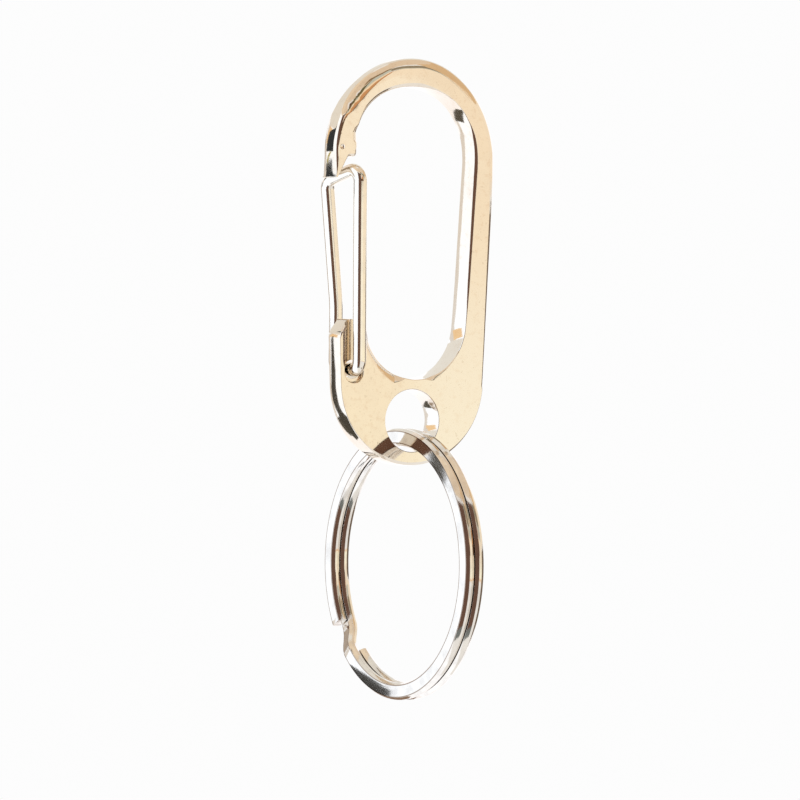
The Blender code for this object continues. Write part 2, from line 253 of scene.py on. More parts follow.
def frame_line():
    """The frame's soft edge in the XZ plane, clockwise from the tip of the nose."""
    tip = OUTER.left(NOSE_END)
    horn_side = OUTER.left(HORN_TOP - HORN_OUTER_DROP)
    horn_left = Vector((OUTER.left(HORN_TOP).x + HORN_OUTER_RUN, HORN_TOP))
    horn_right = EYE.left(HORN_TOP) - Vector((HORN_INNER_CHAMFER, 0))
    horn_inside = EYE.left(HORN_TOP - HORN_INNER_CHAMFER)
    notch_start = math.pi - math.asin((LIP_ROOT.y - EYE.top.y) / EYE.top_radius)
    arch = OUTER.over(OUTER.left_turn, OUTER.right_turn)
    foot = OUTER.under(OUTER.right_turn, OUTER.left_turn - 2 * math.pi)
    eye_foot = EYE.under(EYE.left_turn, 2 * math.pi + EYE.right_turn)
    eye_top = with_bump(EYE.over(EYE.right_turn, notch_start))
    eye_rail = [eye_foot[-1].lerp(eye_top[0], step / 8) for step in range(9)]
    right_rail = [arch[-1].lerp(foot[0], step / 12) for step in range(13)]
    arch_extra, arch_roundness = by_turn(ARCH_BACK_EXTRAS, OUTER.top), by_turn(ARCH_ROUNDNESS, OUTER.top)
    return even_out(join_runs([
        (0.1, soft([tip, tip.lerp(arch[0], 0.5), arch[0]], nose_edge, BACK_EXTRA, 1)),
        (0, soft(arch, by_turn(ARCH_EDGES, OUTER.top), arch_extra, arch_roundness)),
        (0, soft(right_rail, by_height(RAIL_EDGES), RAIL_BACK_EXTRA)),
        (0, soft(foot, by_width(FOOT_EDGES), foot_back_extra)),
        (0, soft([foot[-1], horn_side], HORN_SIDE_EDGE, foot_back_extra)),
        (1.8, soft([horn_side, horn_left], HORN_EDGE)),
        (0.8, soft([horn_left, horn_right], HORN_EDGE, 0)),
        (0.3, soft([horn_right, horn_inside], HORN_EDGE, 0)),
        (0.3, soft([horn_inside, *eye_foot], by_width(EYE_FOOT_EDGES), 0)),
        (0, soft(eye_rail, by_height(EYE_RAIL_EDGES), 0)),
        (0, soft(eye_top, by_turn(EYE_TOP_EDGES, EYE.top), 0)),
        (0.5, soft([eye_top[-1], LIP_ROOT], NOTCH_EDGE, 0)),
        (0.2, soft([LIP_ROOT, LIP_FOOT], lip_edge, 0)),
        (0.09, soft([LIP_FOOT, tip], TIP_EDGE, 0)),
    ]))


def side_profile(edge, roundness):
    """Insets and Y places from the middle of the side out to the face, for one width of soft edge."""
    half = THICKNESS / 2
    depth = edge * (EDGE_DEPTH_SHARE + (1 - EDGE_DEPTH_SHARE) * roundness ** 2)
    power = FLAT_EDGE_POWER + (1 - FLAT_EDGE_POWER) * roundness
    flat = half - depth
    crown = min(CROWN, edge / 2)
    rows = [(crown * (flat * share / half) ** 2, flat * share) for share in (0, 0.25, 0.5, 0.75)]
    crown *= (flat / half) ** 2
    for step in range(EDGE_STEPS + 1):
        turn = math.pi / 2 * step / EDGE_STEPS
        inset = crown + (edge - crown) * (1 - abs(math.cos(turn)) ** power)
        rows.append((inset, flat + depth * math.sin(turn) ** power))
    return rows


def edge_rows(line):
    """Rows of places from the back face round the side to the front face, for one closed soft line."""
    points = [point for point, edge in line]
    inwards = []
    for before, point, after in zip(points[-1:] + points[:-1], points, points[1:] + points[:1]):
        along = ((point - before).normalized() + (after - point).normalized()).normalized()
        inwards.append(Vector((along.y, -along.x)))
    fronts = [side_profile(edge.x, edge.z) for point, edge in line]
    backs = [side_profile(edge.y, edge.z) for point, edge in line]
    last = len(fronts[0]) - 1
    rows = []
    for level in list(range(last, 0, -1)) + list(range(last + 1)):
        side = 1 if len(rows) < last else -1
        row = []
        for point, inward, profile in zip(points, inwards, backs if side > 0 else fronts):
            inset, y = profile[level]
            wave = WAVE * noise.noise(Vector((point.x, side * y, point.y)) / WAVE_LENGTH)
            wave *= 1 - y / THICKNESS * 2
            place = point + inward * (inset + wave)
            row.append(Vector((place.x, side * y, place.y)) * MM)
        rows.append(row)
    return rows


def add_rows(shape, rows):
    """A band of faces through rows of places; returns its first and last closed edge loops."""
    rings = [[shape.verts.new(place) for place in row] for row in rows]
    for first, second in zip(rings, rings[1:]):
        for index, corner in enumerate(first):
            after = (index + 1) % len(first)
            shape.faces.new((corner, first[after], second[after], second[index]))
    return rings[0], rings[-1]


def ring_edges(shape, ring):
    return [shape.edges.get((corner, after)) for corner, after in zip(ring, ring[1:] + ring[:1])]


def link_object(name, mesh):
    made = bpy.data.objects.new(name, mesh)
    bpy.context.scene.collection.objects.link(made)
    return made


def finish_shape(name, shape):
    """An object in the scene from a finished bmesh."""
    mesh = bpy.data.meshes.new(name)
    shape.to_mesh(mesh)
    shape.free()
    return link_object(name, mesh)


def loft(name, rows):
    """A closed solid through rows of places, used to cut."""
    shape = bmesh.new()
    first, last = add_rows(shape, rows)
    shape.faces.new(first)
    shape.faces.new(last)
    bmesh.ops.recalc_face_normals(shape, faces=shape.faces)
    return finish_shape(name, shape)


def at_depths(outline, depths, face):
    """Rows of an outline that takes a margin and sits at depths below a face, -1 front or 1 back."""
    return [[Vector((point.x, face * (THICKNESS / 2 - depth), point.y)) * MM for point in outline(margin)]
            for margin, depth in depths]


def slot_outline(margin):
    half_width = SOCKET_RADIUS + SLOT_MARGIN + margin
    arc = sweep(PIVOT - Vector((0, SLOT_DROP)), half_width, math.pi, 2 * math.pi, 28)
    return arc + [Vector((arc[-1].x, HORN_TOP + 1)), Vector((arc[0].x, HORN_TOP + 1))]


def ring_outline(centre, radius):
    return lambda margin: sweep(centre, radius + margin, 0, 2 * math.pi, 48)[:-1]


def frame_cutters():
    """Solids that cut the socket, the two slots and the nose's pit, through pairs of margin and depth."""
    socket = ring_outline(PIVOT, SOCKET_RADIUS)
    through = [(0, -1), (0, THICKNESS + 1)]
    pit = [(0.12, -0.1), (0, 0), (-0.05, 0.07), (-0.14, 0.13), (-0.24, 0.16)]
    slot = [(0.14, -0.1), (0.09, 0), (0.03, 0.05), (0, 0.12), (0, SLOT_DEPTH - 0.12), (-0.035, SLOT_DEPTH - 0.035),
            (-0.12, SLOT_DEPTH)]
    return [
        loft("socket_cutter", at_depths(socket, through, -1)),
        loft("front_slot_cutter", at_depths(slot_outline, slot, -1)),
        loft("back_slot_cutter", at_depths(slot_outline, slot, 1)),
        loft("dimple_cutter", at_depths(ring_outline(DIMPLE, DIMPLE_RADIUS), pit, -1)),
    ]


def bake_modifiers(item, name):
    """A plain mesh object of what an object's modifiers make of it; the first object goes."""
    graph = bpy.context.evaluated_depsgraph_get()
    mesh = bpy.data.meshes.new_from_object(item.evaluated_get(graph), depsgraph=graph)
    mesh.name = name
    made = link_object(name, mesh)
    bpy.data.objects.remove(item, do_unlink=True)
    return made


def soften_normals(item, angle):
    """Smooth faces with sharp edges past an angle, and normals that follow the larger faces."""
    item.data.shade_smooth()
    item.data.set_sharp_from_angle(angle=math.radians(angle))
    weighted = item.modifiers.new("weighted", "WEIGHTED_NORMAL")
    weighted.keep_sharp = True
    weighted.weight = 60
    return bake_modifiers(item, item.name + "_cast")


def build_frame():
    shape = bmesh.new()
    back, front = add_rows(shape, edge_rows(frame_line()))
    hole = sweep(HOLE, HOLE_RADIUS, 0, 2 * math.pi, 96)[:-1]
    hole_back, hole_front = add_rows(shape, edge_rows(soft(hole, HOLE_EDGE, 0)))
    for outer, inner in ((back, hole_back), (front, hole_front)):
        bmesh.ops.triangle_fill(shape, use_beauty=True, edges=ring_edges(shape, outer) + ring_edges(shape, inner))
    bmesh.ops.recalc_face_normals(shape, faces=shape.faces)
    item = finish_shape("plated_frame", shape)
    cutters = frame_cutters()
    for cutter in cutters:
        cut = item.modifiers.new(cutter.name, "BOOLEAN")
        cut.operation = "DIFFERENCE"
        cut.solver = "EXACT"
        cut.object = cutter
    item = bake_modifiers(item, "frame")
    for cutter in cutters:
        bpy.data.objects.remove(cutter, do_unlink=True)
    return soften_normals(item, SHARPEST_ANGLE)


class Number:
    """A value that varies over a surface: sums on it add Math nodes to its finish."""

    def __init__(self, finish, socket):
        self.finish = finish
        self.socket = socket

    def math(self, operation, first, second):
        return self.finish.node("ShaderNodeMath", {"operation": operation}, {0: first, 1: second})

    def __add__(self, other):
        return self.math("ADD", self, other)

    __radd__ = __add__

    def __mul__(self, other):
        return self.math("MULTIPLY", self, other)

    __rmul__ = __mul__

    def __sub__(self, other):
        return self.math("SUBTRACT", self, other)

    def __rsub__(self, other):
        return self.math("SUBTRACT", other, self)


class Finish:
    """A surface finish made of shader nodes around one Principled shader."""

    def __init__(self, name):
        self.material = bpy.data.materials.new(name)
        self.material.use_nodes = True
        self.tree = self.material.node_tree
        self.shader = self.tree.nodes["Principled BSDF"]

    def node(self, kind, settings=None, sockets=None, output=0):
        """One node: its settings first, then its sockets' values or links; gives one of its outputs."""
        made = self.tree.nodes.new(kind)
        for name, setting in (settings or {}).items():
            setattr(made, name, setting)
        self.fill(made, sockets or {})
        return Number(self, made.outputs[output])

    def fill(self, made, sockets):
        for name, given in sockets.items():
            if isinstance(given, Number):
                self.tree.links.new(given.socket, made.inputs[name])
            else:
                made.inputs[name].default_value = given

    def place(self, scale=(1, 1, 1), uv=None):
        """Object coordinates, or a UV map's, stretched by a scale."""
        if uv:
            source = self.node("ShaderNodeUVMap", {"uv_map": uv})
        else:
            source = self.node("ShaderNodeTexCoord", output="Object")
        return self.node("ShaderNodeMapping", {}, {"Vector": source, "Scale": scale})

    def along(self, axis):
        """How far a point lies along one axis, in metres."""
        return self.node("ShaderNodeSeparateXYZ", {}, {0: self.place()}, output=axis)

    def cloud(self, where, size, detail=2.0, roughness=0.5):
        """Soft noise from 0 to 1 whose blotches are about a size in metres."""
        return self.node("ShaderNodeTexNoise", {}, {"Vector": where, "Scale": 1 / size, "Detail": detail,
                                                    "Roughness": roughness}, output="Fac")

    def step(self, value, low, high):
        """0 below a value, 1 above another, smooth between."""
        return self.node("ShaderNodeMapRange", {"interpolation_type": "SMOOTHSTEP"},
                         {"Value": value, "From Min": low, "From Max": high})

    def mix(self, factor, first, second):
        return self.node("ShaderNodeMix", {"data_type": "RGBA"}, {0: factor, 6: first, 7: second}, output=2)

    def bump(self, height, distance, below=None):
        sockets = {"Height": height, "Distance": distance, "Strength": 1.0}
        if below:
            sockets["Normal"] = below
        return self.node("ShaderNodeBump", {}, sockets)


def frame_plating():
    """Warm bright nickel over a casting: fine pits under the plating, soft waves, mottled and rubbed
    patches, and a paler right side at the foot."""
    plating = Finish("frame_plating")
    where = plating.place()
    grain = plating.cloud(where, 0.00022, detail=3.0)
    peel = plating.cloud(where, 0.0011, detail=1.0)
    waves = plating.cloud(where, 0.004, detail=1.0)
    tint = plating.cloud(where, 0.0032, detail=4.0, roughness=0.6)
    pits = 1 - plating.step(plating.cloud(where, 0.00035, detail=1.0), 0.24, 0.34)
    scratched = plating.place(scale=(1.0, 1.0, 0.06))
    scratches = plating.step(plating.cloud(scratched, 0.00013, detail=1.0), 0.7, 0.78)
    mottle = plating.cloud(where, 0.0007, detail=3.0, roughness=0.65)
    paler = plating.step(plating.along("X"), -0.004, 0.005) * (1 - plating.step(plating.along("Z"), -0.03, -0.012))
    colour = plating.mix(plating.step(tint, 0.3, 0.7), PLATE_WARM, PLATE_DULL)
    colour = plating.mix(paler, colour, PLATE_PALE)
    colour = plating.mix(plating.step(mottle, 0.5, 0.75) * (0.6 - paler * 0.3), colour, MOTTLE_TAN)
    colour = plating.mix(pits * 0.35, colour, PIT_BROWN)
    relief = plating.bump(waves, 0.00001)
    relief = plating.bump(peel, 0.0000015, relief)
    relief = plating.bump(grain - pits * 1.5, 0.0000006, relief)
    plating.fill(plating.shader, {
        "Base Color": colour,
        "Metallic": 1.0,
        "Roughness": 0.055 + plating.step(tint, 0.35, 0.75) * 0.05 + scratches * 0.08,
        "Normal": relief,
    })
    return plating.material


plated_frame = build_frame()
plated_frame.data.materials.clear()
plated_frame.data.materials.append(frame_plating())
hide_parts("frame")
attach(plated_frame, "frame")


# Wire gate
# One length of hard drawn spring wire, plated, bent to a narrow loop that straddles the frame. Its
# two ends turn into the horn's socket, and its crossed legs push the loop up behind the nose's lip.

STUB_SPACING, SOCKET_BEND, LOOP_BEND = 0.6, 1.1, 1.25
NOTCH_SPACE, NEAR_LEAN, CROSSPIECE_DROP = 0.28, 0.3, 1.55
FAR_LEG_UPRIGHT, FAR_LEG_BEND = 7.0, 20
GATE_BRIGHT, GATE_DULL, GATE_STREAKS = (0.86, 0.8, 0.71, 1), (0.8, 0.75, 0.68, 1), 26.0


def wire_corners():
    """Corners of the wire and the bend radius at each, from the near end to the far end."""
    leg_y = THICKNESS / 2 + RUNNING_GAP + WIRE_RADIUS
    lip = (LIP_ROOT - LIP_FOOT).normalized()
    near_z = LIP_ROOT.y - NOTCH_SPACE - WIRE_RADIUS
    far_z = near_z - CROSSPIECE_DROP
    far_x = LIP_FOOT.x + (far_z - LIP_FOOT.y) * lip.x / lip.y + (WIRE_RADIUS + RUNNING_GAP) / lip.y
    return [
        (Vector((PIVOT.x, -STUB_SPACING / 2, PIVOT.y)), 0),
        (Vector((PIVOT.x, -leg_y, PIVOT.y)), SOCKET_BEND),
        (Vector((PIVOT.x - NEAR_LEAN, -leg_y, near_z)), LOOP_BEND),
        (Vector((far_x, leg_y, far_z)), LOOP_BEND),
        (Vector((PIVOT.x, leg_y, PIVOT.y + FAR_LEG_UPRIGHT)), FAR_LEG_BEND),
        (Vector((PIVOT.x, leg_y, PIVOT.y)), SOCKET_BEND),
        (Vector((PIVOT.x, STUB_SPACING / 2, PIVOT.y)), 0),
    ]


class Tree:
    """A geometry node tree under construction, with one method that adds any node."""

    def __init__(self, name, inputs):
        self.tree = bpy.data.node_groups.new(name, "GeometryNodeTree")
        self.ids = {}
        for label, kind in (("Geometry", "NodeSocketGeometry"), *inputs):
            socket = self.tree.interface.new_socket(label, in_out="INPUT", socket_type=kind)
            self.ids[label] = socket.identifier
        self.tree.interface.new_socket("Geometry", in_out="OUTPUT", socket_type="NodeSocketGeometry")
        self.given = self.tree.nodes.new("NodeGroupInput").outputs

    def node(self, kind, settings=None, sockets=None, output=0):
        """One node: its settings first, then its sockets' values or links; gives one of its outputs."""
        made = self.tree.nodes.new(kind)
        for name, setting in (settings or {}).items():
            setattr(made, name, setting)
        for name, given in (sockets or {}).items():
            if isinstance(given, bpy.types.NodeSocket):
                self.tree.links.new(given, made.inputs[name])
            else:
                made.inputs[name].default_value = given
        return made.outputs[output]

    def finish(self, geometry):
        """Ends the tree in Realize Instances and Set Material."""
        real = self.node("GeometryNodeRealizeInstances", {}, {"Geometry": geometry})
        dressed = self.node("GeometryNodeSetMaterial", {}, {"Geometry": real, "Material": self.given["Material"]})
        self.tree.links.new(dressed, self.tree.nodes.new("NodeGroupOutput").inputs["Geometry"])


def grow(tree, name, mesh, values):
    """A plain mesh object from a tree run on a mesh, with the named inputs set."""
    item = link_object(name + "_path", mesh)
    modifier = item.modifiers.new(name, "NODES")
    modifier.node_group = tree.tree
    for label, value in values.items():
        modifier[tree.ids[label]] = value
    return bake_modifiers(item, name)


def capture(tree, curve, label, measure):
    """The outputs of a node that keeps a spline's factor or length at each point of a curve."""
    kept = tree.node("GeometryNodeCaptureAttribute", {"domain": "POINT"}, {"Geometry": curve}).node
    kept.capture_items.new("FLOAT", label)
    tree.tree.links.new(tree.node("GeometryNodeSplineParameter", output=measure), kept.inputs[label])
    return kept.outputs


def tube_with_map(tree, path, profile, map_name):
    """Curve to Mesh with filled ends and a UV map: across the wire, then along it in metres."""
    around = capture(tree, profile, "Around", "Factor")
    along = capture(tree, path, "Along", "Length")
    tube = tree.node("GeometryNodeCurveToMesh", {}, {
        "Curve": along["Geometry"], "Profile Curve": around["Geometry"], "Fill Caps": True})
    place = tree.node("ShaderNodeCombineXYZ", {}, {"X": around["Around"], "Y": along["Along"]})
    return tree.node("GeometryNodeStoreNamedAttribute", {"data_type": "FLOAT2", "domain": "CORNER"},
                     {"Geometry": tube, "Name": map_name, "Value": place})


def gate_tree():
    tree = Tree("bent_wire", (("Wire Radius", "NodeSocketFloat"), ("Material", "NodeSocketMaterial")))
    bend = tree.node("GeometryNodeInputNamedAttribute", {"data_type": "FLOAT"}, {"Name": "bend"})
    line = tree.node("GeometryNodeMeshToCurve", {}, {"Mesh": tree.given["Geometry"]})
    path = tree.node("GeometryNodeFilletCurve", {"mode": "POLY"}, {"Curve": line, "Radius": bend, "Count": 14})
    profile = tree.node("GeometryNodeCurvePrimitiveCircle", {"mode": "RADIUS"}, {
        "Resolution": 40, "Radius": tree.given["Wire Radius"]})
    tube = tube_with_map(tree, path, profile, "wire_map")
    smooth = tree.node("GeometryNodeSetShadeSmooth", {}, {"Geometry": tube})
    tree.finish(smooth)
    return tree


def drawn_wire(name, map_name, bright, dull, streak, painted_shade_line=None):
    """Plated drawn wire: fine streaks that run along it, and dull spots where it rubs. A flat coil also
    has a painted shade line, a dark line painted along each edge. It is given as the coil's centre,
    its middle radius, how far from there the painted shade starts, is full, fades and ends, and its colour."""
    steel = Finish(name)
    where = steel.place()
    streaks = steel.node("ShaderNodeTexNoise", {}, {
        "Vector": steel.place(scale=(streak, 60.0, 1.0), uv=map_name), "Scale": 1.0, "Detail": 3.0}, output="Fac")
    spots = steel.cloud(where, 0.0016, detail=3.0, roughness=0.6)
    grain = steel.cloud(where, 0.0002, detail=2.0)
    colour = steel.mix(steel.step(spots, 0.35, 0.7), bright, dull)
    # Painted shade: a dark line mixed into the base colour along each edge of the flat coil
    if painted_shade_line:
        centre, middle, (start, full, fading, end), dark = painted_shade_line
        off_centre = steel.node("ShaderNodeVectorMath", {"operation": "SUBTRACT"}, {0: where, 1: centre})
        across = steel.node("ShaderNodeVectorMath", {"operation": "MULTIPLY"}, {0: off_centre, 1: (0, 1, 1)})
        radius = steel.node("ShaderNodeVectorMath", {"operation": "LENGTH"}, {0: across}, output="Value")
        off_middle = steel.node("ShaderNodeMath", {"operation": "ABSOLUTE"}, {0: radius - middle})
        line = steel.step(off_middle, start, full) * (1 - steel.step(off_middle, fading, end))
        colour = steel.mix(line, colour, dark)
    relief = steel.bump(streaks, 0.0000035)
    relief = steel.bump(grain, 0.0000006, relief)
    steel.fill(steel.shader, {
        "Base Color": colour,
        "Metallic": 1.0,
        "Roughness": 0.06 + streaks * 0.06 + steel.step(spots, 0.5, 0.8) * 0.06,
        "Normal": relief,
    })
    return steel.material


def build_gate():
    mesh = bpy.data.meshes.new("gate_path")
    corners = wire_corners()
    mesh.from_pydata([place * MM for place, radius in corners], [(n, n + 1) for n in range(len(corners) - 1)], [])
    bends = mesh.attributes.new("bend", "FLOAT", "POINT")
    for item, (place, radius) in zip(bends.data, corners):
        item.value = radius * MM
    finish = drawn_wire("gate_steel", "wire_map", GATE_BRIGHT, GATE_DULL, GATE_STREAKS)
    return grow(gate_tree(), "gate_loop", mesh, {"Wire Radius": WIRE_RADIUS * MM, "Material": finish})


gate_loop = build_gate()
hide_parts("gate_wire")
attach(gate_loop, "gate")


# Split ring
# A flattened spring wire wound in two close turns and plated with silvery nickel. Low on the far
# side the wire steps across from one turn to the other, and both cut ends stop short of the step.

RING_RADIUS = 15.0
RING_WIRE_DEPTH, RING_WIRE_WIDTH = 1.9, 1.08
RING_BEVEL_WIDTH, RING_BEVEL_SLOPE, RING_BEVEL_ROUNDING = 0.4, 0.62, 0.09
# Painted shade: where the dark line painted along each edge of the ring's wire starts, is full, fades and ends
PAINTED_SHADE_BAND = (-0.14, -0.09, -0.02, 0.01)
RING_TURN_SPACE, RING_STEP_LENGTH, RING_END_GAP = 0.12, 4.2, 0.3
RING_STEP_ANGLE, RING_SHARPEST_ANGLE = math.radians(-39.5), 50
RING_BRIGHT, RING_DULL, RING_STREAKS = (0.84, 0.79, 0.72, 1), (0.72, 0.67, 0.61, 1), 18.0
# Colour of the painted shade line along the ring's edges
PAINTED_SHADE_BROWN = (0.3, 0.22, 0.16, 1)


def ring_centre():
    """The ring hangs from the hole, just clear of the bar under it."""
    half_width = RING_WIRE_WIDTH + RING_TURN_SPACE / 2
    inner_radius = RING_RADIUS - RING_WIRE_DEPTH
    corner_drop = math.sqrt((HOLE_RADIUS - RUNNING_GAP) ** 2 - half_width ** 2)
    sag = inner_radius - math.sqrt(inner_radius ** 2 - (THICKNESS / 2) ** 2)
    return Vector((0, 0, HOLE.y - corner_drop + sag - inner_radius))


def ring_tree():
    sizes = ("Radius", "Wire Depth", "Wire Width", "Bevel", "Slope", "Rounding", "Start Angle", "End Angle",
             "Step Angle", "Step Half", "Offset")
    tree = Tree("two_turns", (*((size, "NodeSocketFloat") for size in sizes),
                              ("Centre", "NodeSocketVector"), ("Material", "NodeSocketMaterial")))
    given = tree.given

    def maths(operation, first, second=0.0):
        return tree.node("ShaderNodeMath", {"operation": operation}, {0: first, 1: second})

    line = tree.node("GeometryNodeMeshLine", {}, {"Count": 260})
    curve = tree.node("GeometryNodeMeshToCurve", {}, {"Mesh": line})
    share = tree.node("GeometryNodeSplineParameter", output="Factor")
    angle = tree.node("ShaderNodeMapRange", {}, {
        "Value": share, "To Min": given["Start Angle"], "To Max": given["End Angle"]})
    from_step = maths("DIVIDE", maths("SUBTRACT", angle, given["Step Angle"]), given["Step Half"])
    across = maths("MINIMUM", maths("MAXIMUM", from_step, -1.0), 1.0)
    side = maths("MULTIPLY", maths("SINE", maths("MULTIPLY", across, math.pi / 2)), given["Offset"])
    middle = maths("SUBTRACT", given["Radius"], maths("DIVIDE", given["Wire Depth"], 2.0))
    place = tree.node("ShaderNodeCombineXYZ", {}, {
        "X": side, "Y": maths("MULTIPLY", middle, maths("COSINE", angle)),
        "Z": maths("MULTIPLY", middle, maths("SINE", angle))})
    moved = tree.node("ShaderNodeVectorMath", {"operation": "ADD"}, {0: place, 1: given["Centre"]})
    path = tree.node("GeometryNodeSetPosition", {}, {"Geometry": curve, "Position": moved})
    turned = tree.node("GeometryNodeSetCurveNormal", {"mode": "FREE"}, {"Curve": path, "Normal": (1, 0, 0)})
    flat = tree.node("GeometryNodeCurvePrimitiveQuadrilateral", {"mode": "RECTANGLE"}, {
        "Width": given["Wire Width"], "Height": maths("DIVIDE", given["Wire Depth"], given["Slope"])})
    bevelled = tree.node("GeometryNodeFilletCurve", {"mode": "POLY"}, {
        "Curve": flat, "Radius": given["Bevel"], "Count": 1})
    softened = tree.node("GeometryNodeFilletCurve", {"mode": "POLY"}, {
        "Curve": bevelled, "Radius": given["Rounding"], "Count": 3})
    flattening = tree.node("ShaderNodeCombineXYZ", {}, {"X": 1.0, "Y": given["Slope"], "Z": 1.0})
    profile = tree.node("GeometryNodeTransform", {}, {"Geometry": softened, "Scale": flattening})
    tube = tube_with_map(tree, turned, profile, "ring_map")
    tree.finish(tree.node("GeometryNodeSetShadeSmooth", {}, {"Geometry": tube}))
    return tree


def build_ring():
    step_half = RING_STEP_LENGTH / RING_RADIUS / 2
    margin = step_half + RING_END_GAP / RING_RADIUS
    flat_side = RING_WIRE_DEPTH / 2 - RING_BEVEL_WIDTH * RING_BEVEL_SLOPE
    middle = RING_RADIUS - RING_WIRE_DEPTH / 2
    # The ring's edges get a painted shade line in a dark brown
    painted_shade_line = (ring_centre() * MM, middle * MM, [(flat_side + place) * MM for place in PAINTED_SHADE_BAND], PAINTED_SHADE_BROWN)
    finish = drawn_wire("ring_nickel", "ring_map", RING_BRIGHT, RING_DULL, RING_STREAKS, painted_shade_line)
    ring = grow(ring_tree(), "ring_turns", bpy.data.meshes.new("ring_start"), {
        "Radius": RING_RADIUS * MM, "Wire Depth": RING_WIRE_DEPTH * MM, "Wire Width": RING_WIRE_WIDTH * MM,
        "Bevel": RING_BEVEL_WIDTH * MM, "Slope": RING_BEVEL_SLOPE, "Rounding": RING_BEVEL_ROUNDING * MM,
        "Start Angle": RING_STEP_ANGLE + margin, "End Angle": RING_STEP_ANGLE - margin + 4 * math.pi,
        "Step Angle": RING_STEP_ANGLE + 2 * math.pi,
        "Step Half": step_half, "Offset": (RING_WIRE_WIDTH + RING_TURN_SPACE) / 2 * MM,
        "Centre": ring_centre() * MM, "Material": finish})
    return soften_normals(ring, RING_SHARPEST_ANGLE)


split_ring = build_ring()
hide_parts("split_ring")
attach(split_ring, "ring")


# Studio
# The keychain hangs in front of a white sweep. Broad soft panels and a few darker flags stand round
# it, out of the picture, and the polished metal mirrors them, so they draw its bands of light and dark.

AIM = Vector((-0.509, 0.318, -34.555)) * MM
CAMERA_TURN, CAMERA_RISE, CAMERA_ROLL = math.radians(32), math.radians(0.4), math.radians(1.0)
CAMERA_DISTANCE, CAMERA_LENS = 0.56, 227.8
FLOOR_Z, FLOOR_RADIUS, WHITE = -0.75, 2.4, 0.98
PANEL_DISTANCE, BACK_ROW, MIDDLE_ROW, FRONT_ROW = 0.9, 0.89, 0.885, 0.88


def aim_camera():
    back = Vector((-math.sin(CAMERA_TURN) * math.cos(CAMERA_RISE), -math.cos(CAMERA_TURN) * math.cos(CAMERA_RISE),
                   math.sin(CAMERA_RISE)))
    level = Vector((math.cos(CAMERA_TURN), -math.sin(CAMERA_TURN), 0))
    above = back.cross(level)
    right = level * math.cos(CAMERA_ROLL) + above * math.sin(CAMERA_ROLL)
    up = back.cross(right)
    data = bpy.data.cameras.new("camera")
    data.lens = CAMERA_LENS
    data.sensor_width = 36
    data.clip_start = 0.01
    camera = link_object("camera", data)
    turned = Matrix((right, up, back)).transposed().to_4x4()
    camera.matrix_world = Matrix.Translation(AIM + back * CAMERA_DISTANCE) @ turned
    bpy.context.scene.camera = camera


def seen_white(finish, lit):
    """The lit shader, or plain white where a camera, a mirror or glass sees it."""
    seen = finish.node("ShaderNodeLightPath", output="Is Camera Ray")
    seen = seen + finish.node("ShaderNodeLightPath", output="Is Glossy Ray")
    seen = seen + finish.node("ShaderNodeLightPath", output="Is Transmission Ray")
    white = finish.node("ShaderNodeEmission", {}, {"Color": (1, 1, 1, 1), "Strength": WHITE})
    return finish.node("ShaderNodeMixShader", {}, {0: seen, 1: lit, 2: white})


def light_world():
    world = bpy.data.worlds.new("white_sweep")
    bpy.context.scene.world = world
    world.use_nodes = True
    background = world.node_tree.nodes["Background"]
    background.inputs["Color"].default_value = (1, 1, 1, 1)
    background.inputs["Strength"].default_value = WHITE


def lay_floor():
    paper = Finish("floor_paper")
    paper.fill(paper.shader, {"Base Color": (0.93, 0.93, 0.92, 1), "Roughness": 0.9})
    top = seen_white(paper, Number(paper, paper.shader.outputs[0]))
    output = paper.tree.nodes["Material Output"]
    paper.tree.links.new(top.socket, output.inputs["Surface"])
    shape = bmesh.new()
    bmesh.ops.create_circle(shape, cap_ends=True, segments=64, radius=FLOOR_RADIUS,
                            matrix=Matrix.Translation((0, 0, FLOOR_Z)))
    floor = finish_shape("floor", shape)
    floor.data.materials.append(paper.material)


def stand_panel(name, corners, light, distance=PANEL_DISTANCE, centre=AIM, light_above=None):
    """A curved card round a centre that shines softly, out of the camera's sight. Its four corners are
    turns from the camera's side, to the camera's right, and rises over level, both in degrees. Its light
    may change to another above the level of the object."""
    low_left, low_right, high_right, high_left = (Vector(corner) for corner in corners)
    steps = 16
    shape = bmesh.new()
    columns = []
    for step in range(steps + 1):
        low, high = low_left.lerp(low_right, step / steps), high_left.lerp(high_right, step / steps)
        column = []
        for part in range(steps + 1):
            turn, rise = (math.radians(angle) for angle in low.lerp(high, part / steps))
            around = turn - math.pi / 2 - CAMERA_TURN
            out = Vector((math.cos(around) * math.cos(rise), math.sin(around) * math.cos(rise), math.sin(rise)))
            column.append(shape.verts.new(centre + out * distance))
        columns.append(column)
    for column, after in zip(columns, columns[1:]):
        for part in range(steps):
            shape.faces.new((column[part], after[part], after[part + 1], column[part + 1]))
    glow = Finish(name)
    glow.fill(glow.shader, {"Base Color": (0, 0, 0, 1), "Roughness": 1.0, "Specular IOR Level": 0.0,
                            "Emission Color": (*light, 1), "Emission Strength": 1.0})
    if light_above:
        rise = glow.step(glow.along("Z"), -0.12, 0.04)
        glow.fill(glow.shader, {"Emission Color": glow.mix(rise, (*light, 1), (*light_above, 1))})
    panel = finish_shape(name, shape)
    panel.data.materials.append(glow.material)
    panel.visible_camera = False


def upright(left, right, low, high):
    """Corners of a card with upright sides."""
    return (left, low), (right, low), (right, high), (left, high)


aim_camera()
light_world()
lay_floor()

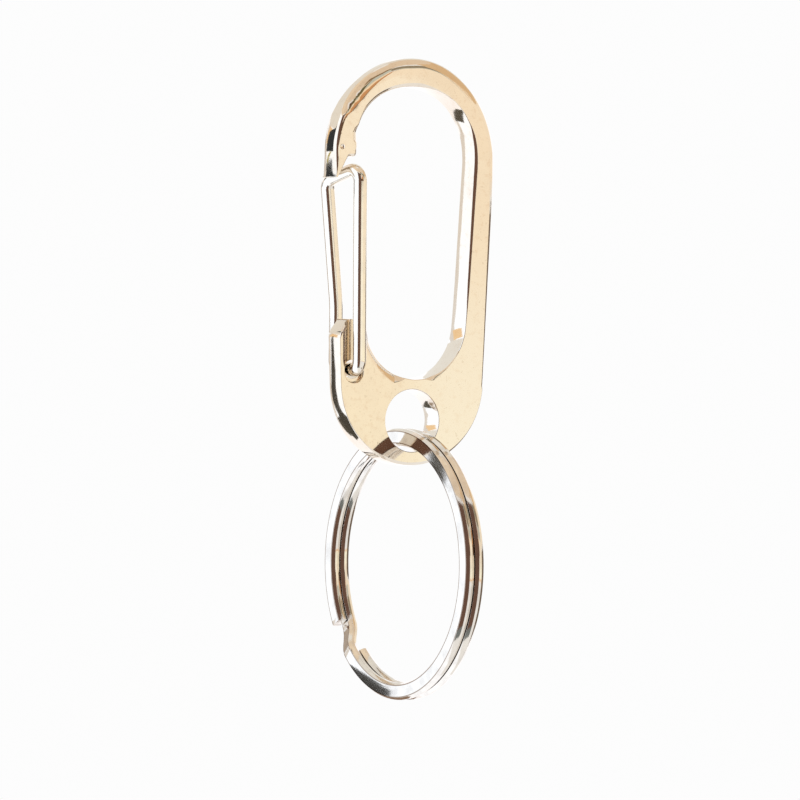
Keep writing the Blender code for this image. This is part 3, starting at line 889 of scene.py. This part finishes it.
# Big panels all round: dark behind the camera, cool on the left and below, warm on the right
stand_panel("dark_behind_camera", upright(-31, 15, -46, 46), (0.16, 0.09, 0.065), FRONT_ROW)
stand_panel("cool_left", upright(-135, -31, -50, 75), (1.25, 1.35, 1.5))
stand_panel("cool_below", upright(-215, -20, -88, -50), (1.25, 1.3, 1.4), 0.7)
stand_panel("cream_front", upright(15, 50, -10, 22), (1.15, 1.1, 0.95))
stand_panel("warm_right", upright(50, 110, -10, 27), (1.14, 1.1, 0.9), light_above=(1.08, 0.95, 0.76))
stand_panel("cream_right", upright(110, 146, 4, 22), (1.05, 0.92, 0.74))
stand_panel("tan_right", upright(79, 146, 22, 50), (0.8, 0.57, 0.34))
stand_panel("tan_ceiling", upright(-31, 146, 50, 82), (0.85, 0.7, 0.54))
stand_panel("tan_left", upright(-95, -31, 45, 82), (0.93, 0.78, 0.6), BACK_ROW)
stand_panel("pale_left", upright(-215, -95, 19, 82), (0.9, 0.88, 0.83), BACK_ROW)
stand_panel("white_behind", upright(-215, -135, -50, 19), (1.2, 1.2, 1.25))

# Cards that the faces, the rails and the wires mirror
stand_panel("right_flag", upright(100, 146, -35, 3), (0.2, 0.15, 0.11))
stand_panel("orange_seam", upright(22, 110, -11.5, -10), (0.9, 0.55, 0.3))
stand_panel("grey_below", ((-45, -63), (35, -63), (20, -46), (-31, -46)), (0.2, 0.22, 0.22), FRONT_ROW)
stand_panel("cream_spot", ((58, 3.6), (65.5, 3.6), (63.5, 10), (57, 10)), (1.12, 1.03, 0.86), BACK_ROW)
stand_panel("brown_seam", ((15, 6), (57.5, 8), (56, 15), (15, 19)), (0.14, 0.08, 0.05), FRONT_ROW)

# Cards that make the bands along the arch
stand_panel("brown_shelf", ((22, 19), (58, 13), (56, 27), (30, 35)), (0.68, 0.35, 0.16), MIDDLE_ROW)
stand_panel("cream_shelf", ((15, 35), (50, 30), (50, 37), (17, 44)), (1.05, 0.85, 0.6), BACK_ROW)
stand_panel("pale_strip", ((24, 42), (50, 35), (50, 47), (26, 53)), (0.62, 0.66, 0.6), MIDDLE_ROW)
stand_panel("olive_patch", ((15, 37), (26, 38), (26, 50), (15, 50)), (0.18, 0.16, 0.08), FRONT_ROW)
stand_panel("dark_seam", ((15, 53), (50, 46), (50, 51), (15, 59)), (0.3, 0.2, 0.11), FRONT_ROW)
stand_panel("grey_strip", ((50, 33), (79, 24), (79, 42), (50, 50)), (0.33, 0.28, 0.2), MIDDLE_ROW)
stand_panel("grey_patch", ((56, 22), (79, 13), (79, 25), (60, 30)), (0.6, 0.6, 0.52), BACK_ROW)

# Cards that the walls of the eye and the hole mirror
stand_panel("brown_behind", upright(-165, -131, -10, 10), (0.5, 0.42, 0.35), FRONT_ROW)
stand_panel("pale_edge", upright(-129, -121, -12, 19), (0.84, 0.8, 0.76), MIDDLE_ROW)
stand_panel("pale_edge_low", ((-135, -22), (-131, -22), (-121, -12), (-129, -12)), (0.84, 0.8, 0.76), MIDDLE_ROW)
stand_panel("eye_flag", ((-143, -32), (-134.5, -35.5), (-122, -25), (-134.5, -22)), (0.1, 0.09, 0.07), FRONT_ROW)
stand_panel("tan_card", ((-124, 8.5), (-110.5, 7.5), (-111, 17.5), (-123, 19)), (1.0, 0.72, 0.42), FRONT_ROW)

# Small flags close to the nose's side, the ring's lowest turn and the foot's side
NOSE_SIDE, FOOT_SIDE, RING_FOOT = (Vector(spot) * MM for spot in ((-10.2, 0, -7), (-9.4, 0, -32), (-1.1, 5, -66)))
NOSE_REACH, FOOT_REACH = 0.03, 0.016
NOSE_DARK, FOOT_DARK = (0.04, 0.045, 0.05), (0.075, 0.07, 0.06)
NOSE_CARDS = (
    ("nose_card_high", ((-121.5, 0.5), (-106, 0.5), (-98, 30), (-121, 17)), NOSE_DARK),
    ("nose_card_low", ((-124.5, -9), (-109, -9), (-109.5, -3.2), (-122, -3.6)), NOSE_DARK),
    ("nose_streak", ((-121, -3.4), (-117, -3.4), (-109.5, 0.3), (-113, 0.3)), (0.5, 0.42, 0.1)),
)
FOOT_BAND = (((-118, 24.5), (-114.8, 24.5)), ((-121, 0), (-113.6, 0)), ((-124.5, -18.5), (-115.5, -18.5)),
             ((-131, -37), (-120.5, -36.5)), ((-138.5, -45.5), (-122, -45.5)), ((-143.5, -50), (-132, -58)),
             ((-164, -57.5), (-148, -63.5)))
for name, corners, light in NOSE_CARDS:
    stand_panel(name, corners, light, NOSE_REACH, NOSE_SIDE)
stand_panel("ring_shadow", ((-130, -14), (-99, -14), (-99, -10), (-130, 9)), (0.07, 0.07, 0.07), 0.009, RING_FOOT)
stand_panel("ring_backing", upright(-200, -135, -80, 2), (0.3, 0.2, 0.14), 0.012, RING_FOOT)
for index, ((high_left, high_right), (low_left, low_right)) in enumerate(zip(FOOT_BAND, FOOT_BAND[1:])):
    stand_panel(f"foot_card_{index}", (low_left, low_right, high_right, high_left), FOOT_DARK, FOOT_REACH, FOOT_SIDE)

scene = bpy.context.scene
scene.view_settings.view_transform = "Standard"
